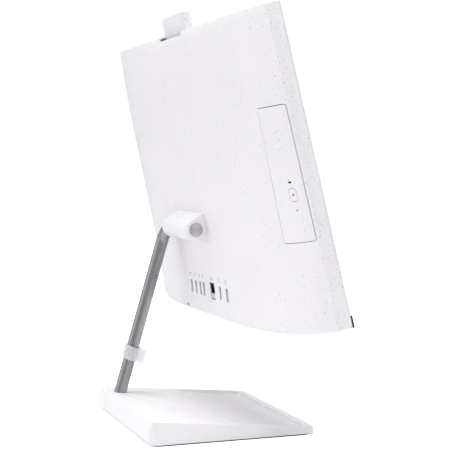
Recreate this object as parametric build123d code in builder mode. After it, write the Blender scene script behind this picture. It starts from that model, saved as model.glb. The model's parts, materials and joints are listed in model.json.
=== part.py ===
from build123d import *
import math
import os

# All-in-one PC. Millimetres and degrees. +Z is up, the screen faces -Y and the origin is the centre of the
# base's underside. The display is described in its own tilted frame: x across, n backwards from the screen's
# front face, u upwards along the screen from its bottom edge.

# ---- display ----
width = 541.0
height = 330.0
edge_depth = 16.0
rest_tilt = 14.0
front_y = -70.7
bottom_z = 141.2
bezel_depth = 2.0
wall = 2.4
cover_bottom_radius = 4.0

# Depth of the back cover's bulge behind the edge, at heights up the screen: (u, bulge, slope, reach)
cover_levels = [
    (0.0, 48.5, 1.65, 192.0),
    (50.0, 41.5, 1.34, 200.0),
    (110.0, 36.7, 1.10, 188.0),
    (180.0, 32.6, 0.92, 173.0),
    (240.0, 28.2, 0.77, 160.0),
    (290.0, 22.3, 0.57, 149.0),
    (height, 13.0, 0.36, 140.0),
]

# ---- speakers and power button, below the screen ----
speaker_x = 165.0
power_x = 240.0
power_n = 11.0

# ---- screen ----
screen_width = 527.0
screen_height = 296.5
chin_height = 26.5

# ---- hinge and stand ----
hinge_n = 64.9
hinge_u = 106.9
housing_half = 41.0
housing_far = 54.0
housing_radius = 12.2
housing_top_u = 125.5
housing_bottom_u = 89.5
tube_x = 76.0
tube_radius = 7.5
tube_bore = 6.0
tube_bend = 22.0
tube_foot_y = 77.4
shaft_radius = 4.5
sleeve_radius = 7.0
eye_radius = 9.6
fit_gap = 0.05

# ---- base ----
base_width = 230.0
base_depth = 196.0
base_rear_height = 27.0
base_front_height = 9.5
pad_height = 1.6
plate_height = 1.4
base_wall = 2.6
base_rear_lean = 6.0
foot_radius = 10.0
tray_rear_y = -6.0
tray_front_y = -86.0
tray_half = 109.0
tray_depth = 3.5

# ---- camera ----
camera_half = 39.0
camera_front = 11.8
camera_rear = 21.6
camera_rise = 20.5
camera_height = 46.0
notch_half = 43.0
notch_depth = 4.6

# ---- optical drive ----
drive_low_u = 95.6
drive_high_u = 232.4
drive_front_x = -232.0
drive_edge_x = -234.0
drive_near_n = 17.6
drive_far_n = 60.0
drive_gap = 0.7
drive_case_low_u = 100.0
drive_case_high_u = 228.0
drive_case_length = 127.0
drive_case_near_n = 19.0
drive_case_far_n = 28.5

# ---- connectors: x of each slot's centre, all at one height ----
port_low_u = 23.2
port_height = 16.0
port_width = 6.4
hdmi_x = 46.0
usb_x = [29.5, 13.3, 0.6, -57.8, -80.0]
network_x = -31.0
network_width = 15.5
network_low_u = 21.5
network_height = 20.0
lock_x = 68.5
flap_hinge_n = 59.3
flap_hinge_u = 22.9
board_n = 40.0
board_thickness = 1.6
port_seat_n = board_n + board_thickness
port_face_n = 57.8

tilt = math.radians(rest_tilt)
up = Vector(0, math.sin(tilt), math.cos(tilt))
back = Vector(0, math.cos(tilt), -math.sin(tilt))
head = Plane(origin=(0, front_y, bottom_z), x_dir=(1, 0, 0), z_dir=up)
half_width = width / 2
hinge_centre = head.from_local_coords((0, hinge_n, hinge_u))
leg_run = tube_foot_y - hinge_centre.Y
leg_lean = math.atan2(leg_run, hinge_centre.Z - base_rear_height)
leg_down = Vector(0, math.sin(leg_lean), -math.cos(leg_lean))


def level(u):
    """Plane across the display at height u, local x = x and local y = n."""
    return head.offset(u)


def face(n):
    """Plane parallel to the screen at depth n, looking forwards, local x = x and local y = u."""
    return Plane(origin=head.from_local_coords((0, n, 0)), x_dir=(1, 0, 0), z_dir=back * -1)


def across(x):
    """Plane square to the X axis in the display, looking to +X, local x = n and local y = u."""
    return Plane(origin=head.from_local_coords((x, 0, 0)), x_dir=back, z_dir=(1, 0, 0))


def slab(x_range, u_range, n_range, radius=0.0, mode=Mode.ADD):
    """Block of the display between two values of x, u and n, with rounded corners seen from the front."""
    size_x = x_range[1] - x_range[0]
    size_u = u_range[1] - u_range[0]
    with BuildSketch(face(n_range[0])) as outline:
        with Locations(((x_range[0] + x_range[1]) / 2, (u_range[0] + u_range[1]) / 2)):
            if radius > 0:
                RectangleRounded(size_x, size_u, radius)
            else:
                Rectangle(size_x, size_u)
    extrude(outline.sketch, amount=n_range[0] - n_range[1], mode=mode)


def disc(x, u, n_range, radius, mode=Mode.ADD):
    """Round block of the display whose axis runs from the screen backwards."""
    with BuildSketch(face(n_range[0])) as outline:
        with Locations((x, u)):
            Circle(radius)
    extrude(outline.sketch, amount=n_range[0] - n_range[1], mode=mode)


def bar(x_range, n_range, u_range, radius=0.0, mode=Mode.ADD):
    """Block of the display with rounded corners seen from the side."""
    size_n = n_range[1] - n_range[0]
    size_u = u_range[1] - u_range[0]
    with BuildSketch(across(x_range[0])) as outline:
        with Locations(((n_range[0] + n_range[1]) / 2, (u_range[0] + u_range[1]) / 2)):
            if radius > 0:
                RectangleRounded(size_n, size_u, radius)
            else:
                Rectangle(size_n, size_u)
    extrude(outline.sketch, amount=x_range[1] - x_range[0], mode=mode)


os.makedirs("parts", exist_ok=True)


def rod(x_range, n, u, radius, mode=Mode.ADD):
    """Round block of the display whose axis runs along X."""
    with BuildSketch(across(x_range[0])) as outline:
        with Locations((n, u)):
            Circle(radius)
    extrude(outline.sketch, amount=x_range[1] - x_range[0], mode=mode)


def save(part, name):
    part.label = name
    export_step(part, f"parts/{name}.step")


def cover_outline(u, bulge, slope, reach, inset):
    """Section of the back cover across the display, from the bezel's back to the bulge."""
    side_x = half_width - inset
    crease_n = edge_depth - inset
    deep_n = crease_n + bulge
    flat_x = side_x - reach
    rise_x = min(0.22 * reach, 0.62 * bulge / slope)
    with BuildSketch(level(u)) as outline:
        with BuildLine():
            Line((-side_x, bezel_depth), (side_x, bezel_depth))
            Line((side_x, bezel_depth), (side_x, crease_n))
            Bezier(
                (side_x, crease_n),
                (side_x - rise_x, crease_n + slope * rise_x),
                (flat_x + 0.6 * reach, deep_n),
                (flat_x, deep_n),
            )
            Line((flat_x, deep_n), (-flat_x, deep_n))
            Bezier(
                (-flat_x, deep_n),
                (-flat_x - 0.6 * reach, deep_n),
                (-side_x + rise_x, crease_n + slope * rise_x),
                (-side_x, crease_n),
            )
            Line((-side_x, crease_n), (-side_x, bezel_depth))
        make_face()
    return outline.sketch.face()


def cover_dome(inset):
    """Closed body of the back cover, or of its hollow when inset by the wall."""
    outlines = []
    for u, bulge, slope, reach in cover_levels:
        inner_u = min(max(u, inset), height - inset)
        outlines.append(cover_outline(inner_u, bulge, slope, reach, inset))
    with BuildPart() as dome:
        loft(outlines)
    return dome.part


outer_dome = cover_dome(0.0)
inner_dome = cover_dome(wall)
up_axis = Axis(head.origin, up)


# ---- back cover: one shell with the sides, cut for camera, drive, connectors, hinge and air ----
def port_slot(x):
    """Upright slot of one connector in the back cover."""
    slab(
        (x - port_width / 2, x + port_width / 2),
        (port_low_u, port_low_u + port_height),
        (port_seat_n + 2, 75),
        radius=1.2,
        mode=Mode.SUBTRACT,
    )


with BuildPart() as back_cover:
    add(outer_dome)
    bottom_edges = back_cover.faces().sort_by(up_axis)[0].edges()
    fillet(bottom_edges.sort_by(Axis(head.origin, back))[1:], radius=cover_bottom_radius)
    add(inner_dome, mode=Mode.SUBTRACT)
    slab((-39.6, 39.6), (height - 8, height + 2), (11.4, 22.0), mode=Mode.SUBTRACT)
    slab((-notch_half, notch_half), (height - notch_depth, height + 2), (21.9, 34), mode=Mode.SUBTRACT)
    bar(
        (-half_width - 2, drive_edge_x + drive_gap),
        (drive_near_n - drive_gap, drive_far_n),
        (drive_low_u - drive_gap, drive_high_u + drive_gap),
        radius=3,
        mode=Mode.SUBTRACT,
    )
    for x in [hdmi_x] + usb_x:
        port_slot(x)
    slab(
        (network_x - network_width / 2, network_x + network_width / 2),
        (network_low_u, network_low_u + network_height),
        (port_seat_n + 2, 75),
        radius=0.8,
        mode=Mode.SUBTRACT,
    )
    slab((-32, 32), (96, 118), (40, 60), radius=2, mode=Mode.SUBTRACT)
    slab((lock_x - 4, lock_x + 4), (4.2, 7.4), (50, 75), radius=1, mode=Mode.SUBTRACT)
    with BuildSketch(level(-1)) as bottom_holes:
        with Locations((-110, 42)):
            Circle(3.6)
        with Locations((150, 38), (-190, 34)):
            with GridLocations(7, 0, 12, 1):
                SlotOverall(15, 2.6, rotation=90)
        with Locations((power_x, power_n)):
            Circle(4.85)
    extrude(bottom_holes.sketch, amount=8, mode=Mode.SUBTRACT)
    with BuildSketch(level(height - 6)) as top_holes:
        with Locations((140, 12.6)):
            with GridLocations(6, 0, 20, 1):
                SlotOverall(7, 2.4, rotation=90)
    extrude(top_holes.sketch, amount=8, mode=Mode.SUBTRACT)
save(back_cover.part, "back_cover")

# ---- front bezel with the screen's window, and the strip of the speaker grille below it ----
with BuildPart() as front_bezel:
    slab((-half_width, half_width), (0, height), (0, bezel_depth), radius=1.5)
    slab((-267.6, 267.6), (3, height - 3), (bezel_depth, 5.2), radius=1)
    slab((-266, 266), (4.6, height - 4.6), (bezel_depth, 6), mode=Mode.SUBTRACT)
    slab(
        (-screen_width / 2 - 0.3, screen_width / 2 + 0.3),
        (chin_height - 0.3, chin_height + screen_height + 0.3),
        (-1, 3),
        mode=Mode.SUBTRACT,
    )
    slab((-272, 272), (0.6, 13.4), (-1, 0.8), mode=Mode.SUBTRACT)
    for x in (-speaker_x, speaker_x):
        slab((x - 42, x + 42), (4.6, 12), (0, 3), mode=Mode.SUBTRACT)
save(front_bezel.part, "front_bezel")

with BuildPart() as speaker_grille:
    slab((-270.2, 270.2), (0.6, 13.3), (-1.2, 0.7))
save(speaker_grille.part, "speaker_grille")

with BuildPart() as screen_glass:
    slab(
        (-screen_width / 2, screen_width / 2),
        (chin_height, chin_height + screen_height),
        (0.5, 1.9),
    )
save(screen_glass.part, "screen_glass")

with BuildPart() as display_panel:
    slab((-265.4, 265.4), (22, height - 5), (bezel_depth + 0.1, 8.6), radius=1.5)
    slab((-150, 150), (24, 34), (8.6, 9.0))
save(display_panel.part, "display_panel")

# ---- chassis ----
chassis_n = 9.2
chassis_back = 10.4
board_x = (50, 222)
board_u = (96, 264)
board_seat = 17.0
board_top = 18.6
board_holes = [(56, 102), (216, 102), (56, 258), (216, 258), (56, 180), (216, 180)]
connector_posts = [(-95, 13), (46, 13), (-95, 46), (46, 46)]

with BuildPart() as chassis_plate:
    slab((-257, 257), (30, height - 14), (chassis_n, chassis_back), radius=4)
    slab((-257, -255.8), (36, height - 20), (chassis_back, 15))
    slab((255.8, 257), (36, height - 20), (chassis_back, 15))
    slab((-99, 50), (8, 31), (chassis_n, chassis_back), radius=3)
    with BuildSketch(face(chassis_n)) as windows:
        with Locations((-110, 68), (-110, 270), (110, 290)):
            RectangleRounded(90, 28, 5)
        with Locations((-200, 60), (230, 60)):
            SlotOverall(40, 16)
    extrude(windows.sketch, amount=-3, mode=Mode.SUBTRACT)
save(chassis_plate.part, "chassis_plate")

# ---- mainboard and what is on it ----
with BuildPart() as standoffs:
    for x, u in board_holes:
        disc(x, u, (chassis_back, board_seat), 3.0)
        disc(x, u, (chassis_back + 2, board_seat), 1.4, mode=Mode.SUBTRACT)
save(standoffs.part, "mainboard_standoffs")

with BuildPart() as mainboard:
    slab(board_x, board_u, (board_seat, board_top), radius=2)
    for x, u in board_holes:
        disc(x, u, (board_seat - 1, board_top + 1), 1.7, mode=Mode.SUBTRACT)
save(mainboard.part, "mainboard")

with BuildPart() as mainboard_screws:
    for x, u in board_holes:
        disc(x, u, (board_top, board_top + 1.8), 2.8)
        disc(x, u, (board_seat - 4, board_top), 1.3)
        disc(x, u, (board_top + 0.9, board_top + 2), 1.2, mode=Mode.SUBTRACT)
save(mainboard_screws.part, "mainboard_screws")

with BuildPart() as processor:
    slab((123, 161), (189, 227), (board_top, board_top + 1.2))
    slab((133, 151), (199, 217), (board_top + 1.2, board_top + 2.2))
save(processor.part, "processor")

cooler_back = board_top + 5.7
with BuildPart() as cooler_plate:
    slab((120, 164), (186, 230), (board_top + 2.2, cooler_back), radius=3)
    with BuildSketch(face(cooler_back)) as pipe_groove:
        with Locations((142, 208)):
            Rectangle(8.2, 60)
    extrude(pipe_groove.sketch, amount=1.8, mode=Mode.SUBTRACT)
save(cooler_plate.part, "cooler_plate")

with BuildPart() as heat_pipe:
    slab((138, 146), (88, 226), (cooler_back - 1.6, cooler_back + 1.8), radius=3.9)
save(heat_pipe.part, "heat_pipe")

with BuildPart() as cooling_fins:
    for index in range(24):
        fin_x = 119 + index * 2.5
        slab((fin_x, fin_x + 0.5), (86, 95), (19.2, 31.8))
    slab((118, 178), (86, 95), (19.0, 19.6))
    slab((118, 178), (86, 95), (31.4, 32.0))
    slab((137.8, 146.2), (85, 96), (cooler_back - 1.65, cooler_back + 1.85), mode=Mode.SUBTRACT)
save(cooling_fins.part, "cooling_fins")

# ---- fan ----
fan_x = 148.0
fan_u = 50.0
fan_near = 18.0
fan_far = 32.0
rotor_radius = 27.0

with BuildPart() as fan_housing:
    slab((fan_x - 34, fan_x + 34), (18, 85.5), (fan_near, fan_far), radius=6)
    disc(fan_x, fan_u, (fan_near + 1.5, fan_far - 1.5), rotor_radius + 1.5, mode=Mode.SUBTRACT)
    slab((fan_x - 24, fan_x + 24), (fan_u, 90), (fan_near + 1.5, fan_far - 1.5), mode=Mode.SUBTRACT)
    disc(fan_x, fan_u, (fan_far - 2, fan_far + 1), 20, mode=Mode.SUBTRACT)
    disc(fan_x, fan_u, (fan_near + 1.5, fan_far - 3), 2.0)
    for side_x, side_u in [(fan_x - 30.5, 27), (fan_x + 30.5, 27)]:
        disc(side_x, side_u, (chassis_back, fan_near), 3.0)
save(fan_housing.part, "fan_housing")

with BuildPart() as fan_rotor:
    disc(fan_x, fan_u, (fan_near + 2.2, fan_far - 2.4), 12)
    with BuildSketch(face(fan_near + 3)) as blades:
        with PolarLocations(0, 11):
            with Locations((19, 4)):
                Rectangle(17, 1.0, rotation=28)
    moved_blades = blades.sketch.moved(Location(face(0).x_dir * fan_x + face(0).y_dir * fan_u))
    extrude(moved_blades, amount=-7.5)
    disc(fan_x, fan_u, (fan_near, fan_far), 2.0 + fit_gap, mode=Mode.SUBTRACT)
save(fan_rotor.part, "fan_rotor")

# ---- memory, storage and wireless card ----
with BuildPart() as memory_slots:
    slab((58, 94), (114, 119), (board_top, board_top + 9))
    slab((60, 94), (115.5, 120), (board_top + 2.2, board_top + 3.6), mode=Mode.SUBTRACT)
    slab((60, 94), (115.5, 120), (board_top + 6.2, board_top + 7.6), mode=Mode.SUBTRACT)
save(memory_slots.part, "memory_slots")

with BuildPart() as memory_modules:
    for offset in (2.3, 6.3):
        slab((61, 93), (116, 184), (board_top + offset, board_top + offset + 1.2))
        for chip_u in (128, 144, 160, 174):
            slab((66, 78), (chip_u, chip_u + 9), (board_top + offset + 1.2, board_top + offset + 2.2))
save(memory_modules.part, "memory_modules")

with BuildPart() as solid_state_drive:
    slab((186, 208), (112, 192), (board_top + 3, board_top + 3.9))
    slab((188, 206), (120, 134), (board_top + 3.9, board_top + 5.2))
    slab((188, 206), (140, 158), (board_top + 3.9, board_top + 5.2))
    disc(197, 190, (board_top, board_top + 3), 2.4)
    slab((186, 208), (107, 113), (board_top, board_top + 4.4))
save(solid_state_drive.part, "solid_state_drive")

with BuildPart() as wireless_card:
    slab((186, 208), (206, 236), (board_top + 2, board_top + 2.8))
    slab((188.5, 205.5), (214, 232), (board_top + 2.8, board_top + 4.4))
    slab((186, 208), (201, 207), (board_top, board_top + 3.4))
save(wireless_card.part, "wireless_card")

# ---- connector board with its posts, sockets and power inlet ----
with BuildPart() as posts:
    for x, u in connector_posts:
        disc(x, u, (chassis_back, board_n), 2.6)
save(posts.part, "connector_posts")

with BuildPart() as connector_board:
    slab((-101, 51), (8, 51), (board_n, port_seat_n), radius=2)
save(connector_board.part, "connector_board")

port_middle_u = port_low_u + port_height / 2
with BuildPart() as hdmi_port:
    slab((hdmi_x - 2.7, hdmi_x + 2.7), (port_middle_u - 7.4, port_middle_u + 7.4), (port_seat_n, port_face_n), radius=1)
    slab((hdmi_x - 2.2, hdmi_x + 2.2), (port_middle_u - 6.9, port_middle_u + 6.9), (46, 60), mode=Mode.SUBTRACT)
    slab((hdmi_x - 0.8, hdmi_x + 0.8), (port_middle_u - 5.4, port_middle_u + 5.4), (45, 56))
save(hdmi_port.part, "hdmi_port")

with BuildPart() as usb_ports:
    for x in usb_x:
        slab((x - 2.9, x + 2.9), (port_middle_u - 7.2, port_middle_u + 7.2), (port_seat_n, port_face_n))
        slab((x - 2.4, x + 2.4), (port_middle_u - 6.7, port_middle_u + 6.7), (46, 60), mode=Mode.SUBTRACT)
        slab((x - 1.6, x + 0.2), (port_middle_u - 5.6, port_middle_u + 5.6), (45, 56.5))
save(usb_ports.part, "usb_ports")

socket_low_u = network_low_u + 7.6
socket_high_u = network_low_u + network_height - 0.6
with BuildPart() as network_port:
    slab((network_x - 7.5, network_x + 7.5), (network_low_u + 0.4, socket_high_u + 0.4), (port_seat_n, 58.6))
    slab((network_x - 7.5, network_x + 7.5), (network_low_u + 0.4, socket_low_u - 0.4), (58, 59.9))
    slab((network_x - 6, network_x + 6), (socket_low_u, socket_high_u - 4), (45, 60), mode=Mode.SUBTRACT)
    slab((network_x - 3.2, network_x + 3.2), (socket_high_u - 5, socket_high_u - 1), (45, 60), mode=Mode.SUBTRACT)
    slab((network_x - 6.8, network_x + 6.8), (network_low_u, socket_low_u), (57.4, 62), mode=Mode.SUBTRACT)
    rod((network_x - 7.3, network_x + 7.3), flap_hinge_n, flap_hinge_u, 0.5 + fit_gap, mode=Mode.SUBTRACT)
save(network_port.part, "network_port")

with BuildPart() as network_flap:
    slab((network_x - 6.4, network_x + 6.4), (network_low_u + 1.3, socket_low_u - 0.5), (58.6, 59.9))
    rod((network_x - 7.1, network_x + 7.1), flap_hinge_n, flap_hinge_u, 0.5)
save(network_flap.part, "network_flap")

with BuildPart() as power_inlet:
    with BuildSketch(level(2.6)) as barrel:
        with Locations((-110, 42)):
            Circle(5.2)
            Circle(3.4, mode=Mode.SUBTRACT)
    extrude(barrel.sketch, amount=13)
    with BuildSketch(level(13.6)) as barrel_end:
        with Locations((-110, 42)):
            Circle(5.2)
    extrude(barrel_end.sketch, amount=2)
    with BuildSketch(level(5)) as pin:
        with Locations((-110, 42)):
            Circle(0.8)
    extrude(pin.sketch, amount=9)
save(power_inlet.part, "power_inlet")

with BuildPart() as lock_plate:
    slab((lock_x - 8, lock_x + 8), (3.0, 14), (58.6, 60.0), radius=1.5)
    slab((lock_x - 3.5, lock_x + 3.5), (4.4, 7.2), (58, 61), radius=1, mode=Mode.SUBTRACT)
save(lock_plate.part, "lock_slot_plate")

# ---- speakers and power button in the bottom of the display ----
for side, name in ((-1, "left_speaker"), (1, "right_speaker")):
    middle_x = side * speaker_x
    with BuildPart() as speaker:
        slab((middle_x - 48, middle_x + 48), (3.2, 21), (5.4, 17.2), radius=2)
        slab((middle_x - 40, middle_x + 40), (5, 19), (6.9, 16), mode=Mode.SUBTRACT)
        slab((middle_x - 30, middle_x + 30), (6, 17), (5, 8), radius=5.4, mode=Mode.SUBTRACT)
    save(speaker.part, name)
    with BuildPart() as cone:
        slab((middle_x - 29.8, middle_x + 29.8), (6.2, 16.8), (5.6, 6.8), radius=5.2)
        slab((middle_x - 20, middle_x + 20), (8.6, 14.4), (6.8, 8.4), radius=2.8)
    save(cone.part, name + "_cone")

with BuildPart() as power_button:
    with BuildSketch(level(-0.7)) as cap:
        with Locations((power_x, power_n)):
            Circle(4.6)
    extrude(cap.sketch, amount=3.2)
    with BuildSketch(level(2.5)) as flange:
        with Locations((power_x, power_n)):
            Circle(5.8)
    extrude(flange.sketch, amount=1)
save(power_button.part, "power_button")

with BuildPart() as power_switch:
    with BuildSketch(level(4.7)) as switch_body:
        with Locations((power_x, power_n)):
            Rectangle(9, 7)
    extrude(switch_body.sketch, amount=4)
save(power_switch.part, "power_switch")


# ---- optical drive ----
def drive_surface(shift):
    """The back cover's body, moved inwards along X from the near side by the given distance."""
    return outer_dome.moved(Location((shift, 0, 0)))


disc_x = drive_front_x + 61
disc_u = (drive_case_low_u + drive_case_high_u) / 2
tray_near_n = drive_case_near_n + 2.1
tray_far_n = tray_near_n + 5
tray_u = (drive_case_low_u + 2, drive_case_high_u - 2)
drive_end_x = drive_front_x + drive_case_length
eject_u = 143.5
eject_n = 26.0

with BuildPart() as drive_case:
    slab((drive_front_x, drive_end_x), (drive_case_low_u, drive_case_high_u), (drive_case_near_n, drive_case_far_n))
    slab(
        (drive_front_x - 1, drive_end_x - 0.8),
        (drive_case_low_u + 0.8, drive_case_high_u - 0.8),
        (drive_case_near_n + 0.8, drive_case_far_n - 0.8),
        mode=Mode.SUBTRACT,
    )
    for x in (drive_front_x + 12, drive_end_x - 12):
        for u in (drive_case_low_u + 8, drive_case_high_u - 8):
            disc(x, u, (chassis_back, drive_case_near_n), 3)
save(drive_case.part, "optical_drive_case")

with BuildPart() as disc_tray:
    slab((drive_front_x - 3, drive_end_x - 3), tray_u, (tray_near_n, tray_far_n))
    disc(disc_x, disc_u, (tray_near_n + 2.4, tray_far_n + 1), 60.4, mode=Mode.SUBTRACT)
    slab((disc_x - 30, disc_x + 30), (tray_u[0] + 6, disc_u - 30), (tray_near_n + 1.2, tray_near_n + 3), mode=Mode.SUBTRACT)
    disc(disc_x, disc_u, (tray_near_n + 1, tray_near_n + 4.6), 2.0)
save(disc_tray.part, "disc_tray")

with BuildPart() as disc_spindle:
    disc(disc_x, disc_u, (tray_near_n + 2.6, tray_near_n + 3.4), 11)
    disc(disc_x, disc_u, (tray_near_n + 3.4, tray_near_n + 5.0), 7.3)
    disc(disc_x, disc_u, (tray_near_n, tray_near_n + 6), 2.0 + fit_gap, mode=Mode.SUBTRACT)
save(disc_spindle.part, "disc_spindle")

with BuildPart() as front_skin:
    bar(
        (-half_width - 2, drive_edge_x),
        (drive_near_n, drive_far_n),
        (drive_low_u, drive_high_u),
        radius=2.6,
    )
    add(outer_dome, mode=Mode.INTERSECT)
    add(drive_surface(3.0), mode=Mode.SUBTRACT)
with BuildPart() as tray_bracket:
    bar((-half_width, drive_front_x - 3), (tray_near_n, tray_far_n), (tray_u[0] + 6, tray_u[1] - 6))
    add(drive_surface(3.0), mode=Mode.INTERSECT)
    bar((-half_width, drive_front_x - 10), (tray_near_n - 1, tray_far_n + 1), (eject_u - 10, eject_u + 10), mode=Mode.SUBTRACT)
with BuildPart() as disc_tray_front:
    add(front_skin.part)
    add(tray_bracket.part)
    bar((-half_width, drive_front_x - 12), (eject_n - 2.35, eject_n + 2.35), (eject_u - 6.85, eject_u + 6.85), radius=2.2, mode=Mode.SUBTRACT)
    bar((-half_width, drive_front_x - 12), (24.8, 26.4), (127.2, 128.8), radius=0.7, mode=Mode.SUBTRACT)
    bar((-half_width, drive_front_x - 12), (25.2, 27.4), (155.2, 157.4), radius=1, mode=Mode.SUBTRACT)
save(disc_tray_front.part, "disc_tray_front")

with BuildPart() as eject_button:
    bar(
        (-half_width, drive_front_x - 14),
        (eject_n - 2.0, eject_n + 2.0),
        (eject_u - 6.5, eject_u + 6.5),
        radius=1.9,
    )
    add(drive_surface(0.1), mode=Mode.INTERSECT)
save(eject_button.part, "eject_button")

with BuildPart() as drive_light:
    bar((-half_width, drive_front_x - 14), (25.3, 27.3), (155.3, 157.3), radius=0.9)
    add(drive_surface(0.4), mode=Mode.INTERSECT)
    add(drive_surface(3.0), mode=Mode.SUBTRACT)
save(drive_light.part, "drive_light")

# ---- pop-up camera ----
camera_top_u = height + camera_rise
lens_u = camera_top_u - 11

with BuildPart() as camera_housing:
    slab((-camera_half, camera_half), (camera_top_u - camera_height, camera_top_u), (camera_front, camera_rear), radius=0.8)
    slab((-34, 34), (camera_top_u - 19, camera_top_u - 3), (camera_front + 1.6, camera_rear - 1.6), mode=Mode.SUBTRACT)
    disc(0, lens_u, (camera_front - 1, camera_front + 2), 4.2, mode=Mode.SUBTRACT)
    bar((-camera_half - 1, -camera_half + 2), (18.2, 20.2), (340.5, 342.5), radius=0.9, mode=Mode.SUBTRACT)
save(camera_housing.part, "camera_housing")

with BuildPart() as camera_board:
    slab((-32, 32), (camera_top_u - 18, camera_top_u - 4), (camera_front + 5, camera_front + 6))
    slab((-5, 5), (lens_u - 5, lens_u + 5), (camera_front + 2.4, camera_front + 5))
save(camera_board.part, "camera_board")

with BuildPart() as camera_lens:
    disc(0, lens_u, (camera_front + 0.2, camera_front + 2.4), 4.0)
save(camera_lens.part, "camera_lens")

with BuildPart() as camera_rails:
    for side in (-1, 1):
        outer_x = side * (camera_half + 4.6)
        inner_x = side * (camera_half + 0.5)
        rail_x = (min(outer_x, inner_x), max(outer_x, inner_x))
        slab(rail_x, (camera_top_u - camera_height - camera_rise - 8, height - 8), (chassis_back, camera_rear))
    slab(
        (-camera_half - 4.6, camera_half + 4.6),
        (camera_top_u - camera_height - camera_rise - 10, camera_top_u - camera_height - camera_rise - 2),
        (chassis_back, camera_rear),
    )
save(camera_rails.part, "camera_rails")

# ---- hinge housing on the back cover ----
housing_tail_n = 46.0


def housing_section(radius, low_u, high_u):
    """Round-nosed section of the hinge housing, seen along X."""
    with BuildSketch(across(-housing_half)) as section:
        with BuildLine():
            nose = CenterArc((hinge_n, hinge_u), radius, -72, 144)
            Polyline(nose @ 1, (housing_tail_n, high_u), (housing_tail_n, low_u), nose @ 0)
        make_face()
    return section.sketch


with BuildPart() as hinge_housing:
    extrude(housing_section(housing_radius, housing_bottom_u, housing_top_u), amount=housing_half + housing_far)
    inner_section = housing_section(housing_radius - 2.1, housing_bottom_u + 2.4, housing_top_u - 2.4)
    hollow = extrude(inner_section, amount=housing_half + housing_far - 4.4, mode=Mode.PRIVATE)
    add(hollow.moved(Location((2.2, 0, 0))), mode=Mode.SUBTRACT)
    add(outer_dome, mode=Mode.SUBTRACT)
    with BuildSketch(across(housing_far - 4)) as tube_hole:
        with Locations((hinge_n, hinge_u)):
            Circle(tube_radius + 0.4)
    extrude(tube_hole.sketch, amount=6, mode=Mode.SUBTRACT)
    with BuildSketch(across(-housing_half - 1)) as cap_seat:
        with Locations((hinge_n, hinge_u)):
            Circle(8.1)
    extrude(cap_seat.sketch, amount=2, mode=Mode.SUBTRACT)
save(hinge_housing.part, "hinge_housing")

with BuildPart() as end_cap:
    with BuildSketch(across(-housing_half - 0.4)) as cap_disc:
        with Locations((hinge_n, hinge_u)):
            Circle(8.0)
    extrude(cap_disc.sketch, amount=1.4)
save(end_cap.part, "hinge_end_cap")

# ---- hinge: bracket on the chassis, friction sleeves and shaft ----
def ring(x_range, outer_radius, inner_radius, mode=Mode.ADD):
    """Ring about the hinge axis."""
    with BuildSketch(across(x_range[0])) as outline:
        with Locations((hinge_n, hinge_u)):
            Circle(outer_radius)
            if inner_radius > 0:
                Circle(inner_radius, mode=Mode.SUBTRACT)
    extrude(outline.sketch, amount=x_range[1] - x_range[0], mode=mode)


sleeve_spans = [(-30, -16), (14, 28)]
with BuildPart() as hinge_bracket:
    slab((-36, 36), (72, 144), (chassis_back, chassis_back + 2), radius=4)
    for span in sleeve_spans:
        slab(span, (100, 114), (chassis_back + 2, hinge_n))
        ring(span, eye_radius, 0)
        ring((span[0] - 1, span[1] + 1), sleeve_radius, 0, mode=Mode.SUBTRACT)
    slab((-16, 14), (104, 110), (chassis_back + 2, 44))
save(hinge_bracket.part, "hinge_bracket")

with BuildPart() as bracket_screws:
    for x in (-30, 30):
        for u in (78, 138):
            disc(x, u, (chassis_back + 2, chassis_back + 4), 3.6)
save(bracket_screws.part, "hinge_bracket_screws")

with BuildPart() as friction_sleeves:
    for span in sleeve_spans:
        ring(span, sleeve_radius, shaft_radius + fit_gap)
save(friction_sleeves.part, "friction_sleeves")

with BuildPart() as hinge_shaft:
    ring((-34, 34), shaft_radius, 0)
    ring((34, 52), tube_bore, 0)
save(hinge_shaft.part, "hinge_shaft")

# ---- stand: one bent tube, its foot in the base ----
leg_up = leg_down * -1
foot_point = Vector(tube_x, tube_foot_y, base_rear_height) + leg_down * 17
corner_point = Vector(tube_x, hinge_centre.Y, hinge_centre.Z)
tube_end = Vector(36, hinge_centre.Y, hinge_centre.Z)


def leg_plane(distance):
    """Plane square to the tube's leg, at a distance up from its foot, local x = x and local y rearwards."""
    return Plane(origin=foot_point + leg_up * distance, x_dir=(1, 0, 0), z_dir=leg_up)


with BuildPart() as stand_tube:
    with BuildLine() as tube_path:
        FilletPolyline(foot_point, corner_point, tube_end, radius=tube_bend)
    with BuildSketch(leg_plane(0)) as tube_ring:
        Circle(tube_radius)
        Circle(tube_bore, mode=Mode.SUBTRACT)
    sweep(tube_ring.sketch, path=tube_path.line)
save(stand_tube.part, "stand_tube")

# ---- cable clip: round around the tube, straight towards the near side, hollow for the cables ----
clip_half = 9.8
clip_wall = 1.3
clip_reach = 30.0
clip_height = 16.0
clip_distance = 66.5


def clip_section(half, reach):
    """Outline of the clip or of its hollow, with its round end about the tube."""
    with BuildSketch(leg_plane(clip_distance - clip_height / 2)) as section:
        Circle(half)
        with Locations((-reach / 2, 0)):
            Rectangle(reach, 2 * half)
    return section.sketch


with BuildPart() as cable_clip:
    extrude(clip_section(clip_half, clip_reach), amount=clip_height)
    extrude(clip_section(clip_half - clip_wall, clip_reach - clip_wall), amount=clip_height, mode=Mode.SUBTRACT)
    with BuildSketch(leg_plane(clip_distance - clip_height / 2)) as clip_ribs:
        with Locations((-9.2, clip_half - 1.6), (-9.2, 1.6 - clip_half)):
            Circle(1.4)
    extrude(clip_ribs.sketch, amount=clip_height)
save(cable_clip.part, "cable_clip")

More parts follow.
